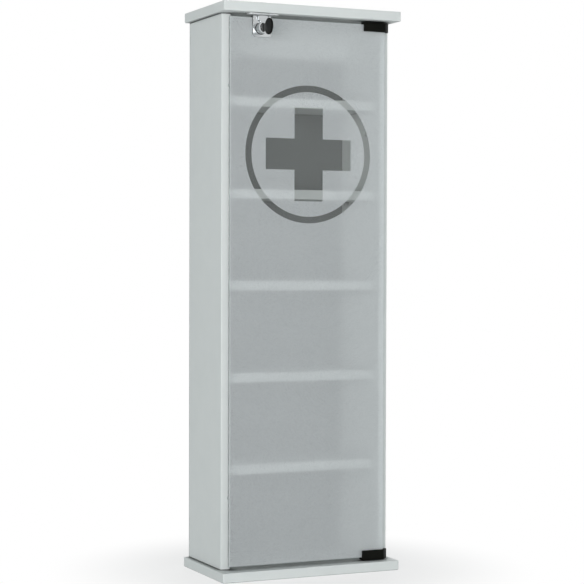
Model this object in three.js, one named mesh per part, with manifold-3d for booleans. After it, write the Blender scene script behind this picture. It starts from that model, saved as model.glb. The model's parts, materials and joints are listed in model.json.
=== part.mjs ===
// Wall cabinet with a frosted glass door on pivot clamps and a keyed lock at the top of the door.
// Millimetres, +Z up, the front looks towards -Y. The origin is the middle of the underside.
import * as THREE from "three";
import { mergeVertices } from "three/addons/utils/BufferGeometryUtils.js";
import Module from "manifold-3d";

const wasm = await Module();
wasm.setup();

// Boards
const CABINET_WIDTH = 300;
const CABINET_DEPTH = 167;
const CABINET_HEIGHT = 880;
const BOARD_THICKNESS = 15;
const BOARD_ARRIS = 1;
const BOARD_CORNER = 2;
const BOARD_ARRIS_STEPS = 2;
const SIDE_OVERHANG = 8;
const FRONT_OVERHANG = 30;
const BACK_THICKNESS = 3;
const BACK_EDGE_INSET = 1;
const JOINT_GAP = 0.2;

// Hanging rail inside, under the top panel
const RAIL_HEIGHT = 50;
const RAIL_THICKNESS = 12;
const RAIL_HOLE_RADIUS = 3;
const RAIL_HOLE_SPACING = 180;

// Shelves, evenly spaced between the lowest and the topmost compartment
const SHELF_COUNT = 5;
const LOWEST_CLEAR_HEIGHT = 142;
const TOPMOST_CLEAR_HEIGHT = 123;
const SHELF_SETBACK = 23.5;
const SHELF_SIDE_GAP = 0.6;
const SHELF_BACK_GAP = 1;

// Shelf pins, with spare holes above and below each of them
const PIN_RADIUS = 2.5;
const PIN_REACH = 8;
const PIN_DEPTH = 8;
const PIN_CHAMFER = 0.5;
const PIN_INSET = 24;
const PIN_HOLE_PITCH = 32;
const PIN_HOLE_STEPS = [-1, 0, 1];
const PIN_FACETS = 10;

// Glass door
const DOOR_SIDE_REVEAL = 9.5;
const DOOR_EDGE_GAP = 5;
const DOOR_STANDOFF = 5.5;
const GLASS_THICKNESS = 4;
const GLASS_ARRIS = 0.5;
const GLASS_CORNER = 2;
const BUMPER_RADIUS = 2.4;
const BUMPER_DOME = 1.2;
const BUMPER_END_DISTANCE = 110;

// Clear ring and cross, left standing proud of the etched face of the glass
const ETCH_DEPTH = 0.2;
const MOTIF_DROP = 207;
const RING_OUTER_RADIUS = 106.5;
const RING_WIDTH = 10;
const RING_FACETS = 48;
const CROSS_SPAN = 145;
const CROSS_ARM = 48;

// Clearances and facets of clamped, running and screwed pieces
const CLAMP_GAP = 0.15;
const RUNNING_GAP = 0.25;
const LINER_THICKNESS = 0.5;
const ROUND_FACETS = 16;
const WELD_DISTANCE = 1e-4;

// Pivot hinges
const PIVOT_BEYOND_GLASS = 3.4;
const PIVOT_STANDOFF = 5;
const HINGE_LENGTH = 38;
const HINGE_GRIP = 11;
const HINGE_FRONT_CHEEK = 2.9;
const HINGE_FRONT_INSET = 0.8;
const HINGE_SIDE_CLEARANCE = 0.6;
const HINGE_BOARD_CLEARANCE = 1.2;
const HINGE_PIN_RADIUS = 1.75;
const HINGE_PIN_FLOOR = 1.6;
const HINGE_SCREW_FIRST = 10;
const HINGE_SCREW_SPACING = 18;
const BUSH_WALL = 1.7;
const BUSH_FLANGE = 1;
const BUSH_DEPTH = 9;
const CLAMP_SCREW_RADIUS = 1.9;
const CLAMP_SCREW_SOCKET_RADIUS = 1.1;
const CLAMP_SCREW_SOCKET_DEPTH = 1.4;

// Lock case, clamped over the upper edge of the glass
const LOCK_FROM_EDGE = 52;
const LOCK_WIDTH = 30;
const LOCK_DROP = 30;
const LOCK_REAR_DROP = 15;
const LOCK_PLATE = 2.5;
const LOCK_REAR_PLATE = 3;
const LOCK_STRIKE_CLEARANCE = 0.75;
const LOCK_CORNER = 4;
const LOCK_DISH_RADIUS = 12;
const LOCK_DISH_DEPTH = 0.8;
const LOCK_DISH_DROP = 6;
const LOCK_SCREW_SPACING = 17;
const LOCK_SCREW_DROP = 8;

// Barrel, plug and bolt
const BARREL_SIDE_STEP = 4.6;
const BARREL_DROP = 18;
const BARREL_RADIUS = 9.6;
const BARREL_COLLAR = 7;
const BARREL_NECK = 1;
const BARREL_NECK_LENGTH = 1.4;
const BARREL_NOSE_RADIUS = 8.8;
const BARREL_NOSE_CHAMFER = 1.2;
const BARREL_LENGTH = 20;
const BARREL_FACETS = 24;
const PLUG_RADIUS = 5.3;
const PLUG_RECESS = 0.5;
const CRANK_RADIUS = 4.5;
const CRANK_PIN_RADIUS = 1.5;
const CRANK_DISC_MARGIN = 1;
const CRANK_DISC_THICKNESS = 1.5;
const CRANK_REST_ANGLE = -Math.PI / 4;
const BOLT_THICKNESS = 2.5;
const BOLT_STEM_WIDTH = 8.6;
const BOLT_HEAD_WIDTH = 15;
const BOLT_HEAD_HEIGHT = 6;
const BOLT_TAIL = 1.8;
const BOLT_SLOT_GAP = 0.35;
const BOLT_CORNER = 1;

// Strike plate under the top panel
const STRIKE_WIDTH = 50;
const STRIKE_DEPTH = 16;
const STRIKE_THICKNESS = 1.5;
const STRIKE_CORNER = 5;
const STRIKE_SLOT_GAP = 0.7;
const STRIKE_POCKET_DEPTH = 6;
const STRIKE_SCREW_SPACING = 37;
const STRIKE_SCREW_RADIUS = 1.4;
const STRIKE_SCREW_HEAD_RADIUS = 2.6;
const STRIKE_SCREW_LENGTH = 9;

// Key
const KEY_BLADE_THICKNESS = 1.6;
const KEY_BLADE_HEIGHT = 6.6;
const KEY_BLADE_DEPTH = 14;
const KEY_TANG = 9;
const KEY_HEAD_RADIUS = 12.5;
const KEY_HEAD_THICKNESS = 3.6;
const KEY_HEAD_ARRIS = 0.8;
const KEY_NECK_HEIGHT = 12;
const KEY_NECK_LENGTH = 4;
const KEY_FACETS = 24;

// Positions that follow from the sizes above
const FRONT_Y = -CABINET_DEPTH / 2;
const REAR_Y = CABINET_DEPTH / 2;
const SIDE_OUTER_X = CABINET_WIDTH / 2 - SIDE_OVERHANG;
const SIDE_INNER_X = SIDE_OUTER_X - BOARD_THICKNESS;
const SIDE_FRONT_Y = FRONT_Y + FRONT_OVERHANG;
const BACK_FRONT_Y = REAR_Y - BACK_THICKNESS;
const FLOOR_Z = BOARD_THICKNESS;
const CEILING_Z = CABINET_HEIGHT - BOARD_THICKNESS;
const INSIDE_HEIGHT = CEILING_Z - FLOOR_Z;
const SHELF_SPREAD = INSIDE_HEIGHT - LOWEST_CLEAR_HEIGHT - TOPMOST_CLEAR_HEIGHT - BOARD_THICKNESS;
const SHELF_PITCH = SHELF_SPREAD / (SHELF_COUNT - 1);
const SHELF_FRONT_Y = SIDE_FRONT_Y + SHELF_SETBACK;
const SHELF_REAR_Y = BACK_FRONT_Y - SHELF_BACK_GAP;
const PIN_ROWS_Y = [SHELF_FRONT_Y + PIN_INSET, SHELF_REAR_Y - PIN_INSET];
const GLASS_RIGHT_X = SIDE_OUTER_X - DOOR_SIDE_REVEAL;
const GLASS_BACK_Y = SIDE_FRONT_Y - DOOR_STANDOFF;
const GLASS_FRONT_Y = GLASS_BACK_Y - GLASS_THICKNESS;
const GLASS_TOP_Z = CEILING_Z - DOOR_EDGE_GAP;
const GLASS_HEIGHT = INSIDE_HEIGHT - 2 * DOOR_EDGE_GAP;
const GRIP_GAP = 2 * CLAMP_GAP + LINER_THICKNESS;
const PIVOT_X = GLASS_RIGHT_X + PIVOT_BEYOND_GLASS;
const PIVOT_Y = SIDE_FRONT_Y - PIVOT_STANDOFF;
const BOLT_X = LOCK_FROM_EDGE - GLASS_RIGHT_X;
const PLATE_BACK_Y = GLASS_FRONT_Y - GRIP_GAP;
const PLATE_FRONT_Y = PLATE_BACK_Y - LOCK_PLATE;
const LOCK_REAR_FRONT_Y = GLASS_BACK_Y + GRIP_GAP;
const LOCK_REAR_Y = LOCK_REAR_FRONT_Y + LOCK_REAR_PLATE;
const STRIKE_TOP_Z = CEILING_Z - JOINT_GAP;
const STRIKE_LOW_Z = STRIKE_TOP_Z - STRIKE_THICKNESS;
const LOCK_TOP_Z = STRIKE_LOW_Z - LOCK_STRIKE_CLEARANCE;
const BARREL_X = BOLT_X - BARREL_SIDE_STEP;
const BARREL_Z = GLASS_TOP_Z - BARREL_DROP;
const CRANK_PIN_X = BARREL_X + CRANK_RADIUS * Math.cos(CRANK_REST_ANGLE);
const CRANK_PIN_Z = BARREL_Z + CRANK_RADIUS * Math.sin(CRANK_REST_ANGLE);

// Depths in front of the lock's plate
const BOLT_START = JOINT_GAP;
const CHANNEL_DEPTH = BOLT_START + BOLT_THICKNESS + JOINT_GAP;
const CRANK_DISC_START = CHANNEL_DEPTH + JOINT_GAP;
const PLUG_START = CRANK_DISC_START + CRANK_DISC_THICKNESS;
const PLUG_END = BARREL_LENGTH - PLUG_RECESS;
const BLADE_START = PLUG_END - KEY_BLADE_DEPTH;
const NECK_START = BARREL_LENGTH + RUNNING_GAP;
const BLADE_END = NECK_START + KEY_TANG;
const KEY_HEAD_AT = NECK_START + KEY_NECK_LENGTH + KEY_HEAD_RADIUS;
const CRANK_DISC_RADIUS = CRANK_RADIUS + CRANK_PIN_RADIUS + CRANK_DISC_MARGIN;
const BOLT_LOW_Z = CRANK_PIN_Z - CRANK_PIN_RADIUS - BOLT_SLOT_GAP - BOLT_TAIL;
const STRIKE_Y = PLATE_FRONT_Y - BOLT_START - BOLT_THICKNESS / 2;
const STRIKE_SLOT_HALF_WIDTH = BOLT_HEAD_WIDTH / 2 + STRIKE_SLOT_GAP;
const STRIKE_SLOT_HALF_DEPTH = BOLT_THICKNESS / 2 + STRIKE_SLOT_GAP;

// Hinge sizes in a frame on the pivot axis, with the board's surface at z = 0
const HINGE_TOP = -HINGE_BOARD_CLEARANCE;
const HINGE_LOW = -DOOR_EDGE_GAP - HINGE_GRIP;
const HINGE_LEFT = GLASS_RIGHT_X - HINGE_LENGTH - PIVOT_X;
const HINGE_FRONT = GLASS_FRONT_Y - GRIP_GAP - HINGE_FRONT_CHEEK - PIVOT_Y;
const HINGE_REAR = PIVOT_STANDOFF - HINGE_SIDE_CLEARANCE;
const HINGE_SLOT_END = GRIP_GAP - PIVOT_BEYOND_GLASS;
const HINGE_SLOT_FRONT = GLASS_FRONT_Y - GRIP_GAP - PIVOT_Y;
const HINGE_SLOT_REAR = GLASS_BACK_Y + GRIP_GAP - PIVOT_Y;
const HINGE_SCREW_Z = -DOOR_EDGE_GAP - HINGE_GRIP / 2;
const BUSH_RADIUS = HINGE_PIN_RADIUS + RUNNING_GAP + BUSH_WALL;

function finish(color, roughness, metalness) {
  return new THREE.MeshStandardMaterial({ color, roughness, metalness });
}

const whiteBoard = finish(0xdfe3e2, 0.55, 0);
const greyBack = finish(0x727776, 0.7, 0);
const frostedGlass = finish(0xc3ccce, 0.5, 0);
const blackMetal = finish(0x161715, 0.45, 0.2);
const chrome = finish(0xc9ced2, 0.15, 1);
const steel = finish(0x9a9fa3, 0.35, 1);
const rubber = finish(0x2a2b2b, 0.9, 0);
const clearRubber = finish(0xcfd3d2, 0.5, 0);
const blackPlastic = finish(0x121314, 0.4, 0);
const greyPlastic = finish(0x8c9091, 0.6, 0);

// A mesh at a place given in its parent's frame.
function piece(name, geometry, material, x = 0, y = 0, z = 0) {
  const mesh = new THREE.Mesh(geometry, material);
  mesh.name = name;
  mesh.position.set(x, y, z);
  return mesh;
}

function block(name, material, low, high) {
  const size = high.map((value, axis) => value - low[axis]);
  const middle = high.map((value, axis) => (value + low[axis]) / 2);
  return piece(name, new THREE.BoxGeometry(...size), material, ...middle);
}

// A cutting shape or an added lump that never becomes a piece itself.
function tool(geometry, x = 0, y = 0, z = 0) {
  return piece("", geometry, null, x, y, z);
}

function toolBlock(low, high) {
  return block("", null, low, high);
}

// Turns a shape drawn in X and Z and extruded, so that the extrusion runs towards -Y.
function towardsFront(geometry) {
  return geometry.rotateX(Math.PI / 2);
}

// Turns a shape drawn in Y and Z and extruded, so that the extrusion runs towards +X.
function alongX(geometry) {
  const basis = new THREE.Matrix4().makeBasis(
    new THREE.Vector3(0, 1, 0),
    new THREE.Vector3(0, 0, 1),
    new THREE.Vector3(1, 0, 0),
  );
  return geometry.applyMatrix4(basis);
}

// Rectangle about the origin with rounded corners.
function roundedRectangle(width, height, radius) {
  const x = width / 2 - radius;
  const y = height / 2 - radius;
  const shape = new THREE.Shape();
  shape.absarc(x, -y, radius, -Math.PI / 2, 0);
  shape.absarc(x, y, radius, 0, Math.PI / 2);
  shape.absarc(-x, y, radius, Math.PI / 2, Math.PI);
  shape.absarc(-x, -y, radius, Math.PI, 1.5 * Math.PI);
  return shape;
}

// Straight extrusion of a shape from z = 0 up.
function extrusion(shape, length, curveSegments = BOARD_ARRIS_STEPS) {
  return new THREE.ExtrudeGeometry(shape, { depth: length, bevelEnabled: false, curveSegments });
}

// Extrusion with softened edges all round, centred on z = 0.
function softExtrusion(shape, thickness, arris, bevelSegments, curveSegments) {
  const geometry = new THREE.ExtrudeGeometry(shape, {
    depth: thickness - 2 * arris,
    bevelThickness: arris,
    bevelSize: arris,
    bevelOffset: -arris,
    bevelSegments,
    curveSegments,
  });
  return geometry.translate(0, 0, arris - thickness / 2);
}

// Solid of revolution about +Z from [radius, height] pairs.
function turned(profile, facets) {
  const points = profile.map(([radius, height]) => new THREE.Vector2(radius, height));
  return new THREE.LatheGeometry(points, facets).rotateX(Math.PI / 2);
}

function rod(radius, start, end, facets = ROUND_FACETS) {
  return turned([[0, start], [radius, start], [radius, end], [0, end]], facets);
}

// Radius of a faceted hole that clears a round piece by a gap.
function around(radius, gap, facets = ROUND_FACETS) {
  return (radius + gap) / Math.cos(Math.PI / facets);
}

// The closed body of a mesh, in the frame of its parent.
function bodyOf(mesh) {
  mesh.updateMatrix();
  const bare = mesh.geometry.clone();
  bare.deleteAttribute("normal");
  bare.deleteAttribute("uv");
  const merged = mergeVertices(bare.applyMatrix4(mesh.matrix), WELD_DISTANCE);
  return new wasm.Manifold(new wasm.Mesh({
    numProp: 3,
    vertProperties: new Float32Array(merged.attributes.position.array),
    triVerts: new Uint32Array(merged.index.array),
  }));
}

// Puts a body back into a mesh, which keeps its place.
function withBody(mesh, body) {
  const result = body.getMesh();
  const geometry = new THREE.BufferGeometry();
  geometry.setAttribute("position", new THREE.BufferAttribute(result.vertProperties, 3));
  geometry.setIndex(new THREE.BufferAttribute(result.triVerts, 1));
  geometry.applyMatrix4(mesh.matrix.clone().invert());
  geometry.computeVertexNormals();
  mesh.geometry = geometry;
  return mesh;
}

function cut(mesh, ...tools) {
  return withBody(mesh, tools.reduce((body, each) => body.subtract(bodyOf(each)), bodyOf(mesh)));
}

function join(mesh, ...others) {
  return withBody(mesh, others.reduce((body, each) => body.add(bodyOf(each)), bodyOf(mesh)));
}

// Top and bottom panels

function endPanel(name, z) {
  const shape = roundedRectangle(CABINET_WIDTH, CABINET_DEPTH, BOARD_CORNER);
  const geometry = softExtrusion(shape, BOARD_THICKNESS, BOARD_ARRIS, BOARD_ARRIS_STEPS, BOARD_ARRIS_STEPS);
  return piece(name, geometry, whiteBoard, 0, 0, z);
}

// Hole for a hinge bush, in the top panel for sense 1 and in the bottom panel for sense -1.
function bushHole(sense) {
  const surface = sense > 0 ? CEILING_Z : FLOOR_Z;
  const mouth = surface - sense * BOARD_ARRIS;
  const end = surface + sense * (BUSH_DEPTH + RUNNING_GAP);
  const hole = rod(around(BUSH_RADIUS, RUNNING_GAP), Math.min(mouth, end), Math.max(mouth, end));
  return tool(hole, PIVOT_X, PIVOT_Y);
}

function strikeScrewX(side) {
  return BOLT_X + side * STRIKE_SCREW_SPACING / 2;
}

function strikeSlot(low, high) {
  return toolBlock(
    [BOLT_X - STRIKE_SLOT_HALF_WIDTH, STRIKE_Y - STRIKE_SLOT_HALF_DEPTH, low],
    [BOLT_X + STRIKE_SLOT_HALF_WIDTH, STRIKE_Y + STRIKE_SLOT_HALF_DEPTH, high],
  );
}

function strikePilot(side) {
  const end = CEILING_Z + STRIKE_SCREW_LENGTH + JOINT_GAP;
  const hole = rod(around(STRIKE_SCREW_RADIUS, JOINT_GAP), CEILING_Z - BOARD_ARRIS, end);
  return tool(hole, strikeScrewX(side), STRIKE_Y);
}

function topPanel() {
  const pocket = strikeSlot(CEILING_Z - BOARD_ARRIS, CEILING_Z + STRIKE_POCKET_DEPTH);
  const panel = endPanel("top_panel", CABINET_HEIGHT - BOARD_THICKNESS / 2);
  return cut(panel, bushHole(1), pocket, strikePilot(-1), strikePilot(1));
}

function bottomPanel() {
  return cut(endPanel("bottom_panel", BOARD_THICKNESS / 2), bushHole(-1));
}

// Sides, shelves and back

function shelfUnderside(index) {
  return FLOOR_Z + LOWEST_CLEAR_HEIGHT + index * SHELF_PITCH;
}

function pinHeight(index) {
  return shelfUnderside(index) - JOINT_GAP - PIN_RADIUS;
}

function pinHole(side, y, z) {
  const radius = around(PIN_RADIUS, JOINT_GAP, PIN_FACETS);
  const hole = rod(radius, -BOARD_ARRIS, PIN_DEPTH + JOINT_GAP, PIN_FACETS);
  return tool(hole.rotateY(side * Math.PI / 2), side * SIDE_INNER_X, y, z);
}

function sidePanel(name, side) {
  const depth = BACK_FRONT_Y - JOINT_GAP - SIDE_FRONT_Y;
  const shape = roundedRectangle(BOARD_THICKNESS, depth, BOARD_ARRIS);
  const geometry = extrusion(shape, INSIDE_HEIGHT - 2 * JOINT_GAP);
  const x = side * (SIDE_OUTER_X - BOARD_THICKNESS / 2);
  const panel = piece(name, geometry, whiteBoard, x, SIDE_FRONT_Y + depth / 2, FLOOR_Z + JOINT_GAP);
  const holes = [];
  for (let index = 0; index < SHELF_COUNT; index += 1) {
    for (const step of PIN_HOLE_STEPS) {
      for (const y of PIN_ROWS_Y) {
        holes.push(pinHole(side, y, pinHeight(index) + step * PIN_HOLE_PITCH));
      }
    }
  }
  return cut(panel, ...holes);
}

function shelfPin(name, side, y, z) {
  const geometry = turned([
    [0, -PIN_REACH],
    [PIN_RADIUS - PIN_CHAMFER, -PIN_REACH],
    [PIN_RADIUS, PIN_CHAMFER - PIN_REACH],
    [PIN_RADIUS, PIN_DEPTH],
    [0, PIN_DEPTH],
  ], PIN_FACETS);
  return piece(name, geometry.rotateY(side * Math.PI / 2), steel, side * SIDE_INNER_X, y, z);
}

function shelf(name, index) {
  const half = SIDE_INNER_X - SHELF_SIDE_GAP;
  const shape = roundedRectangle(SHELF_REAR_Y - SHELF_FRONT_Y, BOARD_THICKNESS, BOARD_ARRIS);
  const middle = (SHELF_FRONT_Y + SHELF_REAR_Y) / 2;
  const height = shelfUnderside(index) + BOARD_THICKNESS / 2;
  return piece(name, alongX(extrusion(shape, 2 * half)), whiteBoard, -half, middle, height);
}

function railHole(side) {
  const length = BACK_THICKNESS + RAIL_THICKNESS;
  const hole = towardsFront(rod(RAIL_HOLE_RADIUS, -length, 2 * length));
  return tool(hole, side * RAIL_HOLE_SPACING / 2, REAR_Y, CEILING_Z - RAIL_HEIGHT / 2);
}

function backPanel() {
  const half = SIDE_OUTER_X - BACK_EDGE_INSET;
  const panel = block("back_panel", greyBack,
    [-half, BACK_FRONT_Y, FLOOR_Z + JOINT_GAP],
    [half, REAR_Y, CEILING_Z - JOINT_GAP]);
  return cut(panel, railHole(-1), railHole(1));
}

function hangingRail() {
  const half = SIDE_INNER_X - JOINT_GAP;
  const shape = roundedRectangle(RAIL_THICKNESS, RAIL_HEIGHT, BOARD_ARRIS);
  const y = BACK_FRONT_Y - JOINT_GAP - RAIL_THICKNESS / 2;
  const z = CEILING_Z - JOINT_GAP - RAIL_HEIGHT / 2;
  const rail = piece("hanging_rail", alongX(extrusion(shape, 2 * half)), whiteBoard, -half, y, z);
  return cut(rail, railHole(-1), railHole(1));
}

// Strike plate, its screws and the door's bumpers

function strikePlate() {
  const shape = roundedRectangle(STRIKE_WIDTH, STRIKE_DEPTH, STRIKE_CORNER);
  const geometry = extrusion(shape, STRIKE_THICKNESS, ROUND_FACETS / 4);
  const strike = piece("strike_plate", geometry, chrome, BOLT_X, STRIKE_Y, STRIKE_LOW_Z);
  const wide = around(STRIKE_SCREW_HEAD_RADIUS, JOINT_GAP);
  const narrow = around(STRIKE_SCREW_RADIUS, JOINT_GAP);
  const sinks = [-1, 1].map((side) => tool(turned([
    [0, -2 * STRIKE_THICKNESS],
    [wide, -2 * STRIKE_THICKNESS],
    [wide, -STRIKE_THICKNESS],
    [narrow, 0],
    [narrow, STRIKE_THICKNESS],
    [0, STRIKE_THICKNESS],
  ], ROUND_FACETS), strikeScrewX(side), STRIKE_Y, STRIKE_TOP_Z));
  return cut(strike, strikeSlot(STRIKE_LOW_Z - STRIKE_THICKNESS, CEILING_Z + STRIKE_THICKNESS), ...sinks);
}

// Countersunk screw with a straight slot.
function strikeScrew(name, side) {
  const x = strikeScrewX(side);
  const screw = piece(name, turned([
    [0, -STRIKE_THICKNESS],
    [STRIKE_SCREW_HEAD_RADIUS, -STRIKE_THICKNESS],
    [STRIKE_SCREW_RADIUS, 0],
    [STRIKE_SCREW_RADIUS, STRIKE_SCREW_LENGTH],
    [0, STRIKE_SCREW_LENGTH],
  ], ROUND_FACETS), chrome, x, STRIKE_Y, STRIKE_TOP_Z);
  const half = STRIKE_SCREW_RADIUS / 4;
  const driverSlot = toolBlock(
    [x - half, STRIKE_Y - STRIKE_DEPTH, STRIKE_LOW_Z - STRIKE_THICKNESS],
    [x + half, STRIKE_Y + STRIKE_DEPTH, STRIKE_LOW_Z + STRIKE_THICKNESS / 2],
  );
  return cut(screw, driverSlot);
}

function bumper(name, z) {
  const length = DOOR_STANDOFF - 2 * JOINT_GAP;
  const geometry = towardsFront(turned([
    [0, 0],
    [BUMPER_RADIUS, 0],
    [BUMPER_RADIUS, length - BUMPER_DOME],
    [BUMPER_RADIUS - BUMPER_DOME, length],
    [0, length],
  ], PIN_FACETS));
  const x = -(SIDE_INNER_X + GLASS_RIGHT_X) / 2;
  return piece(name, geometry, clearRubber, x, SIDE_FRONT_Y - JOINT_GAP, z);
}

// Hinges, drawn for the top panel

function hingeBush(name) {
  const bore = around(HINGE_PIN_RADIUS, RUNNING_GAP);
  const flangeLow = RUNNING_GAP - HINGE_BOARD_CLEARANCE;
  return piece(name, turned([
    [bore, flangeLow],
    [BUSH_RADIUS + BUSH_FLANGE, flangeLow],
    [BUSH_RADIUS + BUSH_FLANGE, -JOINT_GAP],
    [BUSH_RADIUS, -JOINT_GAP],
    [BUSH_RADIUS, BUSH_DEPTH],
    [bore, BUSH_DEPTH],
    [bore, flangeLow],
  ], ROUND_FACETS), greyPlastic);
}

function hingeScrewX(index) {
  return HINGE_LEFT + HINGE_SCREW_FIRST + index * HINGE_SCREW_SPACING;
}

// Clamp that wraps the corner of the glass, with the round end that turns about the pivot.
function hingeClamp(name) {
  const outline = new THREE.Shape();
  outline.moveTo(HINGE_LEFT, HINGE_FRONT);
  outline.lineTo(-PIVOT_BEYOND_GLASS - HINGE_FRONT_INSET, HINGE_FRONT);
  outline.lineTo(HINGE_REAR, 0);
  outline.absarc(0, 0, HINGE_REAR, 0, Math.PI / 2);
  outline.lineTo(HINGE_LEFT, HINGE_REAR);
  const geometry = extrusion(outline, HINGE_TOP - HINGE_LOW, ROUND_FACETS / 2);
  const clamp = piece(name, geometry, blackMetal, 0, 0, HINGE_LOW);
  const glassSlot = toolBlock(
    [HINGE_LEFT - HINGE_LENGTH, HINGE_SLOT_FRONT, HINGE_LOW - HINGE_GRIP],
    [HINGE_SLOT_END, HINGE_SLOT_REAR, GRIP_GAP - DOOR_EDGE_GAP],
  );
  const pinHole = rod(around(HINGE_PIN_RADIUS, CLAMP_GAP), HINGE_LOW + HINGE_PIN_FLOOR, HINGE_REAR);
  const screwHoles = [0, 1].map((index) => {
    const hole = rod(around(CLAMP_SCREW_RADIUS, CLAMP_GAP), -HINGE_REAR, 2 * HINGE_REAR);
    return tool(towardsFront(hole), hingeScrewX(index), HINGE_REAR, HINGE_SCREW_Z);
  });
  return cut(clamp, glassSlot, tool(pinHole), ...screwHoles);
}

// Channel of soft liner over the edge of the glass, drawn across the glass and run along X.
function glassLiner(name, frontDrop, rearDrop, length, x, y, z) {
  const inner = GLASS_THICKNESS / 2 + CLAMP_GAP;
  const outer = inner + LINER_THICKNESS;
  const roof = CLAMP_GAP + LINER_THICKNESS;
  const shape = new THREE.Shape();
  shape.moveTo(-outer, -frontDrop);
  shape.lineTo(-inner, -frontDrop);
  shape.lineTo(-inner, CLAMP_GAP);
  shape.lineTo(inner, CLAMP_GAP);
  shape.lineTo(inner, -rearDrop);
  shape.lineTo(outer, -rearDrop);
  shape.lineTo(outer, roof);
  shape.lineTo(-outer, roof);
  return piece(name, alongX(extrusion(shape, length)), rubber, x, y, z);
}

// Headless clamp screw with a hexagon socket, its point towards the front.
function clampScrew(name, length, x, y, z) {
  const screw = piece(name, towardsFront(rod(CLAMP_SCREW_RADIUS, 0, length)), steel, x, y, z);
  const depth = CLAMP_SCREW_SOCKET_DEPTH;
  const hexagon = rod(CLAMP_SCREW_SOCKET_RADIUS, -depth, depth, 6);
  return cut(screw, tool(towardsFront(hexagon), x, y, z));
}

function hingePin(name) {
  const low = HINGE_LOW + HINGE_PIN_FLOOR + CLAMP_GAP;
  return piece(name, rod(HINGE_PIN_RADIUS, low, BUSH_DEPTH - RUNNING_GAP), steel);
}

function doorHinge(end) {
  const hinge = new THREE.Group();
  const glassMiddleY = (GLASS_FRONT_Y + GLASS_BACK_Y) / 2 - PIVOT_Y;
  hinge.add(hingeClamp(`hinge_clamp_${end}`));
  hinge.add(glassLiner(`hinge_liner_${end}`, HINGE_GRIP, HINGE_GRIP, HINGE_LENGTH,
    HINGE_LEFT, glassMiddleY, -DOOR_EDGE_GAP));
  hinge.add(hingePin(`hinge_pin_${end}`));
  for (const index of [0, 1]) {
    hinge.add(clampScrew(`hinge_screw_${end}_${index + 1}`, HINGE_REAR - HINGE_SLOT_REAR,
      hingeScrewX(index), HINGE_REAR, HINGE_SCREW_Z));
  }
  return hinge;
}

// Sets a hinge's group on the top panel, or mirrored on the bottom panel.
function onBoard(hinge, sense, x, y) {
  hinge.position.set(x, y, sense > 0 ? CEILING_Z : FLOOR_Z);
  hinge.scale.z = sense;
  return hinge;
}

// Door glass

function ringShape() {
  const shape = new THREE.Shape().absarc(0, 0, RING_OUTER_RADIUS, 0, 2 * Math.PI);
  shape.holes.push(new THREE.Path().absarc(0, 0, RING_OUTER_RADIUS - RING_WIDTH, 0, 2 * Math.PI));
  return shape;
}

function crossBar(width, height) {
  const z = GLASS_TOP_Z - MOTIF_DROP;
  return toolBlock(
    [-width / 2, GLASS_FRONT_Y, z - height / 2],
    [width / 2, GLASS_FRONT_Y + 2 * ETCH_DEPTH, z + height / 2],
  );
}

function doorGlass() {
  const thickness = GLASS_THICKNESS - ETCH_DEPTH;
  const shape = roundedRectangle(2 * GLASS_RIGHT_X, GLASS_HEIGHT, GLASS_CORNER);
  const geometry = towardsFront(softExtrusion(shape, thickness, GLASS_ARRIS, 1, BOARD_ARRIS_STEPS));
  const glass = piece("door_glass", geometry, frostedGlass,
    0, GLASS_BACK_Y - thickness / 2, GLASS_TOP_Z - GLASS_HEIGHT / 2);
  const ring = tool(towardsFront(extrusion(ringShape(), 2 * ETCH_DEPTH, RING_FACETS)),
    0, GLASS_FRONT_Y + 2 * ETCH_DEPTH, GLASS_TOP_Z - MOTIF_DROP);
  return join(glass, ring, crossBar(CROSS_ARM, CROSS_SPAN), crossBar(CROSS_SPAN, CROSS_ARM));
}

// Lock

function lockScrewX(side) {
  return BOLT_X + side * LOCK_SCREW_SPACING / 2;
}

function lockScrew(name, side) {
  return clampScrew(name, LOCK_REAR_PLATE, lockScrewX(side), LOCK_REAR_Y, GLASS_TOP_Z - LOCK_SCREW_DROP);
}

// Front plate with a dished field, bridge over the edge of the glass and rear plate.
function lockCase() {
  const left = BOLT_X - LOCK_WIDTH / 2;
  const right = BOLT_X + LOCK_WIDTH / 2;
  const low = GLASS_TOP_Z - LOCK_DROP;
  const shape = new THREE.Shape();
  shape.moveTo(right, LOCK_TOP_Z);
  shape.lineTo(left, LOCK_TOP_Z);
  shape.absarc(left + LOCK_CORNER, low + LOCK_CORNER, LOCK_CORNER, Math.PI, 1.5 * Math.PI);
  shape.absarc(right - LOCK_CORNER, low + LOCK_CORNER, LOCK_CORNER, -Math.PI / 2, 0);
  const geometry = towardsFront(extrusion(shape, LOCK_PLATE, ROUND_FACETS / 4));
  const shell = piece("lock_case", geometry, chrome, 0, PLATE_BACK_Y, 0);
  const bridge = toolBlock(
    [left, PLATE_FRONT_Y, GLASS_TOP_Z + GRIP_GAP],
    [right, LOCK_REAR_Y, LOCK_TOP_Z],
  );
  const rear = toolBlock(
    [left, LOCK_REAR_FRONT_Y, GLASS_TOP_Z - LOCK_REAR_DROP],
    [right, LOCK_REAR_Y, LOCK_TOP_Z],
  );
  const dish = tool(
    towardsFront(rod(LOCK_DISH_RADIUS, -LOCK_DISH_DEPTH, LOCK_PLATE, BARREL_FACETS)),
    BOLT_X, PLATE_FRONT_Y, LOCK_TOP_Z - LOCK_DISH_DROP,
  );
  const holes = [-1, 1].map((side) => {
    const hole = rod(around(CLAMP_SCREW_RADIUS, CLAMP_GAP), -LOCK_REAR_PLATE, LOCK_REAR_PLATE + CLAMP_GAP);
    return tool(towardsFront(hole), lockScrewX(side), LOCK_REAR_Y, GLASS_TOP_Z - LOCK_SCREW_DROP);
  });
  return cut(join(shell, bridge, rear), dish, ...holes);
}

function onBarrelAxis(geometry) {
  return tool(towardsFront(geometry), BARREL_X, PLATE_FRONT_Y, BARREL_Z);
}

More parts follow.
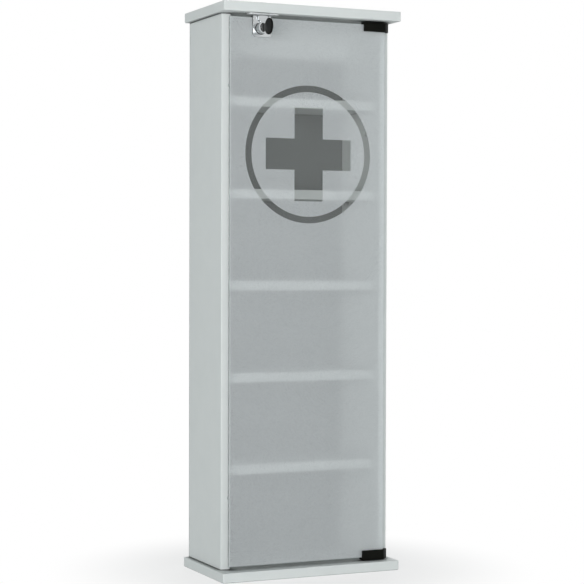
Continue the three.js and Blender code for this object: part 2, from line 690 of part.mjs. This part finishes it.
// Stepped barrel with the plug's bore, the crank's recess and the channel of the bolt.
function lockBarrel() {
  const neckEnd = BARREL_COLLAR + BARREL_NECK_LENGTH;
  const neckRadius = BARREL_NOSE_RADIUS - BARREL_NECK;
  const barrel = piece("lock_barrel", towardsFront(turned([
    [0, JOINT_GAP],
    [BARREL_RADIUS, JOINT_GAP],
    [BARREL_RADIUS, BARREL_COLLAR - BARREL_NECK],
    [BARREL_RADIUS - BARREL_NECK, BARREL_COLLAR],
    [neckRadius, BARREL_COLLAR],
    [neckRadius, neckEnd],
    [BARREL_NOSE_RADIUS, neckEnd],
    [BARREL_NOSE_RADIUS, BARREL_LENGTH - BARREL_NOSE_CHAMFER],
    [BARREL_NOSE_RADIUS - BARREL_NOSE_CHAMFER, BARREL_LENGTH],
    [0, BARREL_LENGTH],
  ], BARREL_FACETS)), chrome, BARREL_X, PLATE_FRONT_Y, BARREL_Z);
  const boreRadius = around(PLUG_RADIUS, RUNNING_GAP, BARREL_FACETS);
  const bore = rod(boreRadius, 0, 2 * BARREL_LENGTH, BARREL_FACETS);
  const recessRadius = around(CRANK_DISC_RADIUS, RUNNING_GAP, BARREL_FACETS);
  const recess = rod(recessRadius, 0, PLUG_START + JOINT_GAP, BARREL_FACETS);
  const half = BOLT_STEM_WIDTH / 2 + BOLT_SLOT_GAP;
  const channel = toolBlock(
    [BOLT_X - half, PLATE_FRONT_Y - CHANNEL_DEPTH, BOLT_LOW_Z - BOLT_SLOT_GAP],
    [BARREL_X + 2 * BARREL_RADIUS, PLATE_BACK_Y, LOCK_TOP_Z],
  );
  return cut(barrel, onBarrelAxis(bore), onBarrelAxis(recess), channel);
}

// Slot or tang hole that takes the key's blade, from one depth in front of the plate to another.
function bladeSlot(start, end) {
  const half = KEY_BLADE_THICKNESS / 2 + CLAMP_GAP;
  const tall = KEY_BLADE_HEIGHT / 2 + CLAMP_GAP;
  return toolBlock(
    [BARREL_X - half, PLATE_FRONT_Y - end, BARREL_Z - tall],
    [BARREL_X + half, PLATE_FRONT_Y - start, BARREL_Z + tall],
  );
}

// Plug with the crank that lifts the bolt.
function lockPlug() {
  const body = towardsFront(rod(PLUG_RADIUS, CRANK_DISC_START, PLUG_END, BARREL_FACETS));
  const plug = piece("lock_plug", body, chrome, BARREL_X, PLATE_FRONT_Y, BARREL_Z);
  const disc = rod(CRANK_DISC_RADIUS, CRANK_DISC_START, PLUG_START, BARREL_FACETS);
  const crankPin = towardsFront(rod(CRANK_PIN_RADIUS, 2 * JOINT_GAP, PLUG_START, PIN_FACETS));
  const whole = join(plug, onBarrelAxis(disc), tool(crankPin, CRANK_PIN_X, PLATE_FRONT_Y, CRANK_PIN_Z));
  return cut(whole, bladeSlot(BLADE_START - CLAMP_GAP, BARREL_LENGTH));
}

function lockBolt() {
  const stem = BOLT_STEM_WIDTH / 2;
  const head = BOLT_HEAD_WIDTH / 2;
  const shoulder = LOCK_TOP_Z - BOLT_HEAD_HEIGHT;
  const waist = shoulder - (head - stem);
  const half = [
    [stem, BOLT_LOW_Z],
    [stem, waist],
    [head, shoulder],
    [head, LOCK_TOP_Z - BOLT_CORNER],
    [head - BOLT_CORNER, LOCK_TOP_Z],
  ];
  const mirrored = half.map(([x, z]) => [-x, z]).reverse();
  const shape = new THREE.Shape([...half, ...mirrored].map(([x, z]) => new THREE.Vector2(x, z)));
  const geometry = towardsFront(extrusion(shape, BOLT_THICKNESS));
  const bolt = piece("lock_bolt", geometry, chrome, BOLT_X, PLATE_FRONT_Y - BOLT_START, 0);
  const slotHalf = CRANK_PIN_RADIUS + BOLT_SLOT_GAP;
  const crankSlot = toolBlock(
    [CRANK_PIN_X - slotHalf, PLATE_FRONT_Y - CHANNEL_DEPTH, CRANK_PIN_Z - slotHalf],
    [BARREL_X + CRANK_RADIUS + slotHalf, PLATE_FRONT_Y, CRANK_PIN_Z + slotHalf],
  );
  return cut(bolt, crankSlot);
}

// Key

function keyBlade() {
  return block("key_blade", steel,
    [BARREL_X - KEY_BLADE_THICKNESS / 2, PLATE_FRONT_Y - BLADE_END, BARREL_Z - KEY_BLADE_HEIGHT / 2],
    [BARREL_X + KEY_BLADE_THICKNESS / 2, PLATE_FRONT_Y - BLADE_START, BARREL_Z + KEY_BLADE_HEIGHT / 2]);
}

// Round flat head with a short neck, moulded over the tang of the blade.
function keyHead() {
  const neck = KEY_NECK_HEIGHT / 2;
  const reach = Math.sqrt(KEY_HEAD_RADIUS ** 2 - neck ** 2);
  const swing = Math.atan2(neck, reach);
  const shape = new THREE.Shape();
  shape.moveTo(-NECK_START, neck);
  shape.lineTo(reach - KEY_HEAD_AT, neck);
  shape.absarc(-KEY_HEAD_AT, 0, KEY_HEAD_RADIUS, swing, 2 * Math.PI - swing);
  shape.lineTo(-NECK_START, -neck);
  const steps = BOARD_ARRIS_STEPS;
  const geometry = alongX(softExtrusion(shape, KEY_HEAD_THICKNESS, KEY_HEAD_ARRIS, steps, KEY_FACETS));
  const head = piece("key_head", geometry, blackPlastic, BARREL_X, PLATE_FRONT_Y, BARREL_Z);
  return cut(head, bladeSlot(0, BLADE_END + CLAMP_GAP));
}

// Assembly

const group = new THREE.Group();
group.name = "cabinet";

function branch(name) {
  const part = new THREE.Group();
  part.name = name;
  group.add(part);
  return part;
}

// Hands meshes placed in the cabinet's frame to a branch, which keeps them where they are.
function handTo(part, ...meshes) {
  for (const mesh of meshes) {
    group.add(mesh);
    part.attach(mesh);
  }
}

const BOARD_ENDS = [["top", 1], ["bottom", -1]];

const carcass = branch("carcass");
carcass.add(topPanel(), bottomPanel(), backPanel(), hangingRail());
carcass.add(sidePanel("side_panel_left", -1), sidePanel("side_panel_right", 1));
for (let index = 0; index < SHELF_COUNT; index += 1) {
  carcass.add(shelf(`shelf_${index + 1}`, index));
  for (const [sideName, side] of [["left", -1], ["right", 1]]) {
    for (const [row, rowName] of ["front", "rear"].entries()) {
      const name = `shelf_pin_${index + 1}_${sideName}_${rowName}`;
      carcass.add(shelfPin(name, side, PIN_ROWS_Y[row], pinHeight(index)));
    }
  }
}
carcass.add(strikePlate(), strikeScrew("strike_screw_left", -1), strikeScrew("strike_screw_right", 1));
carcass.add(bumper("door_bumper_upper", CEILING_Z - BUMPER_END_DISTANCE));
carcass.add(bumper("door_bumper_lower", FLOOR_Z + BUMPER_END_DISTANCE));
for (const [end, sense] of BOARD_ENDS) {
  const seat = new THREE.Group();
  seat.add(hingeBush(`hinge_bush_${end}`));
  carcass.add(onBoard(seat, sense, PIVOT_X, PIVOT_Y));
}

// The door swings about the Z axis of its branch.
const door = branch("door");
door.position.set(PIVOT_X, PIVOT_Y, 0);
for (const [end, sense] of BOARD_ENDS) {
  door.add(onBoard(doorHinge(end), sense, 0, 0));
}
const linerY = (GLASS_FRONT_Y + GLASS_BACK_Y) / 2;
const linerX = BOLT_X - LOCK_WIDTH / 2;
const lockLinerDrop = LOCK_DROP - LOCK_CORNER;
handTo(door, doorGlass(), lockCase(), lockBarrel());
handTo(door, lockScrew("lock_screw_left", -1), lockScrew("lock_screw_right", 1));
handTo(door, glassLiner("lock_liner", lockLinerDrop, LOCK_REAR_DROP, LOCK_WIDTH,
  linerX, linerY, GLASS_TOP_Z));

// The plug turns about the Y axis of its branch, the key draws out along it, the bolt rises along Z.
const plug = branch("plug");
plug.position.set(BARREL_X, PLATE_FRONT_Y, BARREL_Z);
handTo(plug, lockPlug());
const key = branch("key");
handTo(key, keyBlade(), keyHead());
const bolt = branch("bolt");
handTo(bolt, lockBolt());
plug.attach(key);
door.attach(plug);
door.attach(bolt);

export default group;
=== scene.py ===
import json
import math

import bmesh
import bpy
from mathutils import Matrix, Vector
from mathutils.geometry import tessellate_polygon


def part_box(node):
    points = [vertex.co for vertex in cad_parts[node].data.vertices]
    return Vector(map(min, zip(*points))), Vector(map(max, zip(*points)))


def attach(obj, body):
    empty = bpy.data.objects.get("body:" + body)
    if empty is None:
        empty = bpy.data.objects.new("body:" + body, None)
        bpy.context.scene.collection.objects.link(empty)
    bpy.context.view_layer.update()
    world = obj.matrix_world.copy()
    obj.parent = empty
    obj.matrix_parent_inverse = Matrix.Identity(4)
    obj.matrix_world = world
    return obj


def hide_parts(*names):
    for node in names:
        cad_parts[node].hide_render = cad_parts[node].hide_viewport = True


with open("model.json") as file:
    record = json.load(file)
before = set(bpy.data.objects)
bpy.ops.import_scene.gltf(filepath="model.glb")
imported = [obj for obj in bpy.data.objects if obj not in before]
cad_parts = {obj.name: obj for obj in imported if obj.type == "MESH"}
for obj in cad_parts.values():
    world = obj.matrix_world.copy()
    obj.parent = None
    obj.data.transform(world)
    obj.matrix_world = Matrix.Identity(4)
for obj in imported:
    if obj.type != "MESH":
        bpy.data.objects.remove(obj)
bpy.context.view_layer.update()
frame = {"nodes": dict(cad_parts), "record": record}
nodes = frame["nodes"]
body_of = {
    node: body
    for body, members in frame["record"]["behaviour"]["bodies"].items()
    for node in members
}
slot_of = {part["node"]: part["material_slot"] for part in frame["record"]["subparts"]}

MM = 0.001


# Shapes that the scene adds to the frame's own

BOARD_ROUNDING = 0.25 * MM
SIDE_END_CUT = 1.9 * MM
PANE_ARRIS = 0.6 * MM
MOTIF_HEIGHT = 653 * MM
MOTIF_PROUD = 0.2 * MM
RING_OUTER = 106.5 * MM
RING_INNER = 96.5 * MM
RING_STEPS = 128
CROSS_REACH = 72.5 * MM
CROSS_HALF_ARM = 24 * MM

# From the barrel's left side to its axis
BARREL_RADIUS = 9.6 * MM

# A painted reflection on the barrel: a black band that stands in for dark surroundings mirrored in the
# chrome; where it starts and ends before the barrel's rear, and its inner radius
PAINTED_BAND_START = 8.6 * MM
PAINTED_BAND_END = 6.05 * MM
PAINTED_BAND_CORE = 7.2 * MM

# How far the edges of the metal and plastic pieces are rounded, in millimetres
BARREL_ROUNDING = 0.35
HINGE_ROUNDINGS = {"clamp_{}": 0.5, "screw_{}_1": 0.2, "screw_{}_2": 0.2, "pin_{}": 0.15, "bush_{}": 0.15}
ROUNDINGS = {
    "lock_case": 0.4,
    "lock_plug": 0.15,
    "lock_bolt": 0.4,
    "lock_screw_left": 0.2,
    "lock_screw_right": 0.2,
    "strike_plate": 0.3,
    "strike_screw_left": 0.2,
    "strike_screw_right": 0.2,
    "key_blade": 0.15,
    "key_head": 0.9,
    "door_bumper_upper": 0.5,
    "door_bumper_lower": 0.5,
}
ROUNDING_STEPS = 2

# Edges that turn by more than this are rounded, boards' edges and shading edges by their own values
SHARP = math.radians(28)
BOARD_SHARP = math.radians(50)
SHADED_SHARP = math.radians(40)

# Faces that turn by less than this are one face, and points or heights closer than this are the same
FLAT = math.radians(0.5)
SAME_POINT = 1e-6
SAME_HEIGHT = 1e-5

# The weighted normals follow the large faces alone
LARGE_FACES_LEAD = 100


# Materials

# Most of a noise texture's values lie between these two
NOISE_LOW, NOISE_HIGH = 0.3, 0.7
FINE_DETAIL = 2.0
GRAIN_DEPTH = 0.1 * MM

ETCH_GRAIN = 2600.0
ETCH_RELIEF = 0.03
ETCH_DEPTH = 0.05 * MM
VEIL_MOTTLE = 30.0
VEIL_DARK, VEIL_LIGHT = (0.86, 0.89, 0.91), (0.88, 0.91, 0.93)
GLASS_IOR = 1.5

# Painted shade on the boards: they darken on level faces, over this reach from a joint and down to this
# share of their colour
JOINT_SHADE_REACH = 18 * MM
JOINT_SHADE_SHARE = 0.12
JOINT_SHADE_SAMPLES = 8
FULLY_SHADED_AO, UNSHADED_AO = 0.5, 0.8


class Nodes:
    """A small wrapper that adds shader nodes to a material or to the world."""

    def __init__(self, owner, output):
        owner.use_nodes = True
        self.owner = owner
        self.tree = owner.node_tree
        self.tree.nodes.clear()
        self.output = self.add(output)
        self.places = self.add("TexCoord").outputs

    def add(self, kind, inputs=None, **settings):
        """A new node. Each input given is a constant or another node's output."""
        node = self.tree.nodes.new("ShaderNode" + kind)
        for key, value in settings.items():
            setattr(node, key, value)
        for key, value in (inputs or {}).items():
            if isinstance(value, bpy.types.NodeSocket):
                self.tree.links.new(value, node.inputs[key])
            else:
                node.inputs[key].default_value = value
        return node

    def noise(self, scale, detail=3.0):
        node = self.add("TexNoise", {"Vector": self.places["Object"], "Scale": scale, "Detail": detail})
        return node.outputs["Fac"]

    def ranged(self, value, start, stop, low, high, curve="LINEAR"):
        """Maps start to low and stop to high."""
        inputs = {"Value": value, "From Min": start, "From Max": stop, "To Min": low, "To Max": high}
        return self.add("MapRange", inputs, interpolation_type=curve).outputs["Result"]

    def between(self, noise, low, high):
        return self.ranged(noise, NOISE_LOW, NOISE_HIGH, low, high)

    def tint(self, noise, dark, light):
        node = self.add("ValToRGB", {"Fac": noise})
        for stop, place, colour in zip(node.color_ramp.elements, (NOISE_LOW, NOISE_HIGH), (dark, light)):
            stop.position = place
            stop.color = (*colour, 1.0)
        return node.outputs["Color"]

    def relief(self, height, strength, depth):
        inputs = {"Height": height, "Strength": strength, "Distance": depth}
        return self.add("Bump", inputs).outputs["Normal"]

    def calculate(self, operation, *values):
        return self.add("Math", dict(enumerate(values)), operation=operation).outputs["Value"]

    def height(self, vector):
        return self.add("SeparateXYZ", {"Vector": vector}).outputs["Z"]

    def mixed(self, factor, first, second):
        return self.add("MixShader", {"Fac": factor, 1: first, 2: second}).outputs["Shader"]

    def cornered(self, colour, reach, share):
        """The colour with painted shade: darker on level faces close to the boards that stand on them or
        hang from them.
        """
        normal = self.add("NewGeometry").outputs["True Normal"]
        level = self.calculate("ABSOLUTE", self.height(normal))
        deepest_shade = self.ranged(level, 0.0, 1.0, 1.0, share)
        joint_occlusion = self.add("AmbientOcclusion", {"Distance": reach}, samples=JOINT_SHADE_SAMPLES)
        shade_amount = self.ranged(joint_occlusion.outputs["AO"], FULLY_SHADED_AO, UNSHADED_AO, deepest_shade, 1.0)
        return self.add("VectorMath", {0: colour, "Scale": shade_amount}, operation="SCALE").outputs["Vector"]

    def seen_white(self, shader, white, share=None):
        """White to the camera, in reflections and through the glass, and the shader to everything else."""
        path = self.add("LightPath").outputs
        seen = path["Is Camera Ray"]
        for ray in ("Is Glossy Ray", "Is Transmission Ray"):
            seen = self.calculate("MAXIMUM", seen, path[ray])
        if share is not None:
            seen = self.calculate("MULTIPLY", seen, share)
        return self.mixed(seen, shader, white)

    def end(self, shader):
        self.tree.links.new(shader, self.output.inputs["Surface"])
        return self.owner


def material_nodes(name):
    return Nodes(bpy.data.materials.new(name), "OutputMaterial")


def surface(name, dark, light, rough, metal=0.0, mottle=40.0, grain=1200.0, relief=0.08, shine=0.5,
            corners=None):
    """A solid surface: faint mottling in its colour, grain in its gloss and its relief."""
    n = material_nodes(name)
    colour = n.tint(n.noise(mottle), dark, light)
    # Where corners is given, painted shade darkens level faces near joints
    if corners:
        colour = n.cornered(colour, *corners)
    fine = n.noise(grain, FINE_DETAIL)
    bsdf = n.add("BsdfPrincipled", {
        "Base Color": colour,
        "Metallic": metal,
        "Specular IOR Level": shine,
        "Roughness": n.between(fine, *rough),
        "Normal": n.relief(fine, relief, GRAIN_DEPTH),
    })
    return n.end(bsdf.outputs["BSDF"])


def glazing(name, tint, rough, veil, lamp):
    """A face of the glass: where it is etched, a white veil over it. The lamps' light passes in part."""
    n = material_nodes(name)
    fine = n.noise(ETCH_GRAIN, FINE_DETAIL)
    glass = n.add("BsdfPrincipled", {
        "Base Color": (*tint, 1.0),
        "Transmission Weight": 1.0,
        "IOR": GLASS_IOR,
        "Roughness": n.between(fine, *rough),
    })
    passing = n.add("BsdfTransparent", {"Color": (lamp, lamp, lamp, 1.0)})
    path = n.add("LightPath").outputs
    lighting = n.calculate("MAXIMUM", path["Is Shadow Ray"], path["Is Diffuse Ray"])
    pane = n.mixed(lighting, glass.outputs["BSDF"], passing.outputs["BSDF"])
    if not veil:
        return n.end(pane)
    white = n.add("BsdfDiffuse", {
        "Color": n.tint(n.noise(VEIL_MOTTLE), VEIL_DARK, VEIL_LIGHT),
        "Normal": n.relief(fine, ETCH_RELIEF, ETCH_DEPTH),
    })
    return n.end(n.mixed(veil, pane, white.outputs["BSDF"]))


# The boards carry painted shade on their level faces near joints
BOARD = surface(
    "melamine_board", dark=(0.745, 0.768, 0.762), light=(0.762, 0.784, 0.778), rough=(0.52, 0.62),
    grain=1500.0, shine=0.15, corners=(JOINT_SHADE_REACH, JOINT_SHADE_SHARE),
)
BACK = surface(
    "grey_hardboard", dark=(0.15, 0.165, 0.163), light=(0.165, 0.18, 0.178), rough=(0.5, 0.65),
    mottle=400.0, grain=900.0, relief=0.12,
)
BLACK_METAL = surface(
    "black_satin_metal", dark=(0.004, 0.0042, 0.003), light=(0.007, 0.0072, 0.0055), rough=(0.45, 0.55),
    grain=2500.0, shine=0.06,
)
CHROME = surface(
    "chrome", dark=(0.50, 0.52, 0.53), light=(0.56, 0.58, 0.59), rough=(0.08, 0.13),
    metal=1.0, grain=2000.0, relief=0.03,
)
STEEL = surface(
    "zinc_steel", dark=(0.48, 0.49, 0.50), light=(0.60, 0.61, 0.62), rough=(0.28, 0.38),
    metal=1.0, grain=1800.0,
)
BRUSHED = surface(
    "brushed_plate", dark=(0.78, 0.80, 0.81), light=(0.86, 0.88, 0.89), rough=(0.48, 0.6),
    metal=0.6, grain=2200.0,
)
BLACK_RUBBER = surface(
    "black_rubber", dark=(0.016, 0.016, 0.016), light=(0.03, 0.03, 0.03), rough=(0.65, 0.8),
    grain=1500.0, relief=0.2,
)
CLEAR_RUBBER = surface(
    "clear_rubber", dark=(0.42, 0.45, 0.45), light=(0.5, 0.53, 0.53), rough=(0.25, 0.35), grain=1500.0,
)
BLACK_PLASTIC = surface(
    "black_plastic", dark=(0.005, 0.005, 0.005), light=(0.009, 0.009, 0.009), rough=(0.28, 0.36),
    grain=1800.0, shine=0.06,
)
GREY_PLASTIC = surface(
    "grey_plastic", dark=(0.33, 0.34, 0.34), light=(0.4, 0.41, 0.41), rough=(0.4, 0.5),
)
FROSTED = glazing("frosted_glass_face", tint=(0.98, 1.0, 1.0), rough=(0.26, 0.31), veil=0.42, lamp=1.0)
CLEAR = glazing("clear_glass_face", tint=(0.97, 1.0, 0.99), rough=(0.0, 0.02), veil=0.0, lamp=0.7)
EDGE = glazing("ground_glass_edge", tint=(0.72, 0.92, 0.86), rough=(0.22, 0.30), veil=0.25, lamp=0.5)

LOOKS = {
    "white_board": BOARD,
    "grey_back": BACK,
    "frosted_glass": FROSTED,
    "black_metal": BLACK_METAL,
    "chrome": CHROME,
    "steel": STEEL,
    "black_rubber": BLACK_RUBBER,
    "clear_rubber": CLEAR_RUBBER,
    "black_plastic": BLACK_PLASTIC,
    "grey_plastic": GREY_PLASTIC,
}

# Pieces that look otherwise than their slot
OWN_LOOKS = {"strike_plate": BRUSHED}

for name, node in nodes.items():
    node.data.materials.clear()
    node.data.materials.append(LOOKS[slot_of[name]])


# Pieces that replace their nodes


def mesh_from(shape, name):
    mesh_data = bpy.data.meshes.new(name)
    shape.to_mesh(mesh_data)
    shape.free()
    return mesh_data


def into_scene(name, data):
    thing = bpy.data.objects.new(name, data)
    bpy.context.scene.collection.objects.link(thing)
    return thing


def add(name, mesh_data, node):
    """Puts a mesh in the scene in place of a node."""
    piece = into_scene(name, mesh_data)
    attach(piece, body_of[node])
    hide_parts(node)
    return piece


def creases(shape, angle):
    return [edge for edge in shape.edges if edge.is_manifold and edge.calc_face_angle() > angle]


def bevel(shape, edges, width, steps):
    bmesh.ops.bevel(shape, geom=edges, offset=width, offset_type="OFFSET", segments=steps,
                    affect="EDGES", clamp_overlap=True, profile=0.5)


def end_rims(shape, edges):
    """Those of the edges that lie in the shape's lowest or its highest level."""
    heights = [vert.co.z for vert in shape.verts]
    levels = (min(heights), max(heights))

    def lies_in(edge, level):
        return all(abs(vert.co.z - level) < SAME_HEIGHT for vert in edge.verts)

    return [edge for edge in edges if any(lies_in(edge, level) for level in levels)]


def softened(node, width, sharp=SHARP, end_cut=0.0):
    """The node's own shape with its sharp edges rounded and its turned faces shaded smooth.

    Where end_cut is given, the rims of its lower and upper end are cut back by that much first.
    """
    shape = bmesh.new()
    shape.from_mesh(nodes[node].data)
    bmesh.ops.remove_doubles(shape, verts=shape.verts, dist=SAME_POINT)
    bmesh.ops.dissolve_limit(shape, angle_limit=FLAT, verts=shape.verts, edges=shape.edges)
    if end_cut:
        bevel(shape, end_rims(shape, creases(shape, sharp)), end_cut, 1)
    bevel(shape, creases(shape, sharp), width, ROUNDING_STEPS)
    for part in (*shape.faces, *shape.edges):
        part.smooth = True
    for edge in creases(shape, SHADED_SHARP):
        edge.smooth = False
    mesh_data = mesh_from(shape, node + "_soft")
    mesh_data.materials.append(OWN_LOOKS.get(node, LOOKS[slot_of[node]]))
    piece = add(node + "_soft", mesh_data, node)
    even = piece.modifiers.new("even_normals", "WEIGHTED_NORMAL")
    even.weight = LARGE_FACES_LEAD
    even.keep_sharp = True
    return piece


def circle(x, z, radius):
    turn = 2 * math.pi / RING_STEPS
    angles = [i * turn for i in range(RING_STEPS)]
    return [Vector((x + radius * math.cos(angle), z + radius * math.sin(angle))) for angle in angles]


def rectangle(low, high, inset):
    left, right = low.x + inset, high.x - inset
    bottom, top = low.z + inset, high.z - inset
    return [Vector(corner) for corner in ((left, bottom), (right, bottom), (right, top), (left, top))]


def cross_outline(x, z, reach, half):
    path = [(reach, -half), (reach, half), (half, half), (half, reach), (-half, reach), (-half, half),
            (-reach, half), (-reach, -half), (-half, -half), (-half, -reach), (half, -reach), (half, -half)]
    return [Vector((x + a, z + b)) for a, b in path]


def door_pane():
    """The door's glass: etched field, polished ring and cross standing on it, ground edges."""
    low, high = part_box("door_glass")
    front, back = low.y, high.y
    field = front + MOTIF_PROUD
    centre = ((low.x + high.x) / 2, MOTIF_HEIGHT)
    ring_out = circle(*centre, RING_OUTER)
    ring_in = circle(*centre, RING_INNER)
    cross = cross_outline(*centre, CROSS_REACH, CROSS_HALF_ARM)
    inner = rectangle(low, high, PANE_ARRIS)
    outer = rectangle(low, high, 0.0)
    looks = (FROSTED, CLEAR, EDGE)
    frosted, clear, edge = range(len(looks))
    shape = bmesh.new()

    def loop(points, y):
        return [shape.verts.new((p.x, y, p.y)) for p in points]

    def fill(loops, material, flip=False):
        flat = [v for group in loops for v in group]
        flat_points = [[Vector((v.co.x, v.co.z, 0.0)) for v in group] for group in loops]
        for triangle in tessellate_polygon(flat_points):
            corners = [flat[i] for i in triangle]
            area = (corners[1].co - corners[0].co).cross(corners[2].co - corners[0].co).y
            if (area > 0) != flip:
                corners.reverse()
            shape.faces.new(corners).material_index = material

    def band(first, second, material):
        for i in range(len(first)):
            j = (i + 1) % len(first)
            shape.faces.new((first[i], first[j], second[j], second[i])).material_index = material

    rim = loop(inner, field)
    ring_out_low, ring_out_high = loop(ring_out, field), loop(ring_out, front)
    ring_in_high, ring_in_low = loop(ring_in, front), loop(ring_in, field)
    cross_low, cross_high = loop(cross, field), loop(cross, front)
    edge_front = loop(outer, field + PANE_ARRIS)
    edge_back = loop(outer, back - PANE_ARRIS)
    rear = loop(inner, back)
    fill([rim, ring_out_low], frosted)
    band(ring_out_low, ring_out_high, clear)
    fill([ring_out_high, ring_in_high], clear)
    band(ring_in_high, ring_in_low, clear)
    fill([ring_in_low, cross_low], frosted)
    band(cross_low, cross_high, clear)
    fill([cross_high], clear)
    band(rim, edge_front, edge)
    band(edge_front, edge_back, edge)
    band(edge_back, rear, edge)
    fill([rear], clear, flip=True)
    bmesh.ops.recalc_face_normals(shape, faces=shape.faces)
    mesh_data = mesh_from(shape, "door_pane")
    for look in looks:
        mesh_data.materials.append(look)
    add("door_pane", mesh_data, "door_glass")


def barrel_with_ring():
    """The lock's barrel with a painted reflection: a black band in its groove that stands in for dark
    surroundings mirrored in the chrome.
    """
    piece = softened("lock_barrel", BARREL_ROUNDING * MM)
    # The painted reflection band takes the black rubber look
    piece.data.materials.append(BLACK_RUBBER)
    low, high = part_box("lock_barrel")
    axis_x, axis_z = low.x + BARREL_RADIUS, (low.z + high.z) / 2
    start, end = high.y - PAINTED_BAND_START, high.y - PAINTED_BAND_END
    # Faces of the groove and its chamfer get the painted dark reflection
    for face in piece.data.polygons:
        reach = math.hypot(face.center.x - axis_x, face.center.z - axis_z)
        if start < face.center.y < end and reach > PAINTED_BAND_CORE:
            face.material_index = 1


for node, slot in slot_of.items():
    if slot in ("white_board", "grey_back"):
        end_cut = SIDE_END_CUT if node.startswith("side_") else 0.0
        softened(node, BOARD_ROUNDING, sharp=BOARD_SHARP, end_cut=end_cut)
door_pane()
for end in ("top", "bottom"):
    for piece, width in HINGE_ROUNDINGS.items():
        softened("hinge_" + piece.format(end), width * MM)
for node, width in ROUNDINGS.items():
    softened(node, width * MM)
barrel_with_ring()


# Floor, light and camera

WHITE = (1.0, 1.0, 1.0, 1.0)
FLOOR_HALF = 30.0
FLOOR_MOTTLE = 3.0
FLOOR_DARK, FLOOR_LIGHT = (0.80, 0.80, 0.80), (0.84, 0.84, 0.84)

# The floor shows this share of white beside the cabinet, and all white from the second distance on
FLOOR_WHITE_SHARE = 0.7
FLOOR_WHITE_FROM, FLOOR_WHITE_TO = 0.15, 0.4

SKY_COLOUR = (0.9, 1.0, 1.0, 1.0)
HORIZON, ZENITH = 0.58, 0.12

CAMERA_PLACE = (-1.15219, -2.53429, 0.49095)
CAMERA_YAW = math.radians(24.466)
CAMERA_PITCH = math.radians(-1.0737)
CAMERA_ROLL = math.radians(0.158)
CAMERA_LENS, CAMERA_SENSOR = 108.3, 36.0


def make_floor():
    """A pale floor that keeps the shadow and is white away from the cabinet."""
    shape = bmesh.new()
    corners = ((-1, -1), (1, -1), (1, 1), (-1, 1))
    shape.faces.new([shape.verts.new((x * FLOOR_HALF, y * FLOOR_HALF, 0.0)) for x, y in corners])
    floor = into_scene("floor", mesh_from(shape, "floor"))
    n = material_nodes("pale_floor")
    colour = n.tint(n.noise(FLOOR_MOTTLE), FLOOR_DARK, FLOOR_LIGHT)
    pale = n.add("BsdfDiffuse", {"Color": colour}).outputs["BSDF"]
    away = n.add("VectorMath", {0: n.places["Object"]}, operation="LENGTH").outputs["Value"]
    share = n.ranged(away, FLOOR_WHITE_FROM, FLOOR_WHITE_TO, FLOOR_WHITE_SHARE, 1.0, "SMOOTHSTEP")
    white = n.add("Emission", {"Color": WHITE}).outputs["Emission"]
    floor.data.materials.append(n.end(n.seen_white(pale, white, share)))


def make_world():
    """Soft light that is stronger from the sides than from above."""
    world = bpy.data.worlds.new("studio")
    bpy.context.scene.world = world
    n = Nodes(world, "OutputWorld")
    strength = n.ranged(n.height(n.places["Generated"]), 0.0, 1.0, HORIZON, ZENITH)
    sky = n.add("Background", {"Color": SKY_COLOUR, "Strength": strength}).outputs["Background"]
    white = n.add("Background", {"Color": WHITE}).outputs["Background"]
    n.end(n.seen_white(sky, white))


def softbox(name, place, target, width, height, power):
    lamp = bpy.data.lights.new(name, "AREA")
    lamp.shape = "RECTANGLE"
    lamp.size, lamp.size_y = width, height
    lamp.energy = power
    holder = into_scene(name, lamp)
    holder.location = place
    holder.rotation_mode = "QUATERNION"
    holder.rotation_quaternion = (Vector(target) - Vector(place)).to_track_quat("-Z", "Y")


def make_camera():
    level = math.cos(CAMERA_PITCH)
    look = Vector((math.sin(CAMERA_YAW) * level, math.cos(CAMERA_YAW) * level, math.sin(CAMERA_PITCH)))
    right = Vector((math.cos(CAMERA_YAW), -math.sin(CAMERA_YAW), 0.0))
    up = right.cross(look)
    side = math.cos(CAMERA_ROLL) * right + math.sin(CAMERA_ROLL) * up
    over = math.cos(CAMERA_ROLL) * up - math.sin(CAMERA_ROLL) * right
    camera = bpy.data.cameras.new("camera")
    camera.lens = CAMERA_LENS
    camera.sensor_width = CAMERA_SENSOR
    camera.clip_start, camera.clip_end = 0.05, 200.0
    place = Matrix((side, over, -look)).transposed().to_4x4()
    place.translation = CAMERA_PLACE
    holder = into_scene("camera", camera)
    holder.matrix_world = place
    bpy.context.scene.camera = holder


make_floor()
make_world()
softbox("key_light", (-1.95, -2.6, 0.7), target=(0.0, 0.0, 0.5), width=1.8, height=1.2, power=48.0)
softbox("high_light", (0.9, -2.4, 2.9), target=(0.0, 0.0, 0.45), width=1.2, height=1.2, power=4.0)
softbox("rear_light", (1.6, 2.8, 2.2), target=(0.0, 0.0, 0.45), width=1.6, height=1.6, power=34.0)
softbox("low_light", (-0.5, -2.2, 0.25), target=(0.0, 0.0, 0.7), width=1.4, height=0.45, power=5.0)
make_camera()
bpy.context.scene.view_settings.view_transform = "Standard"
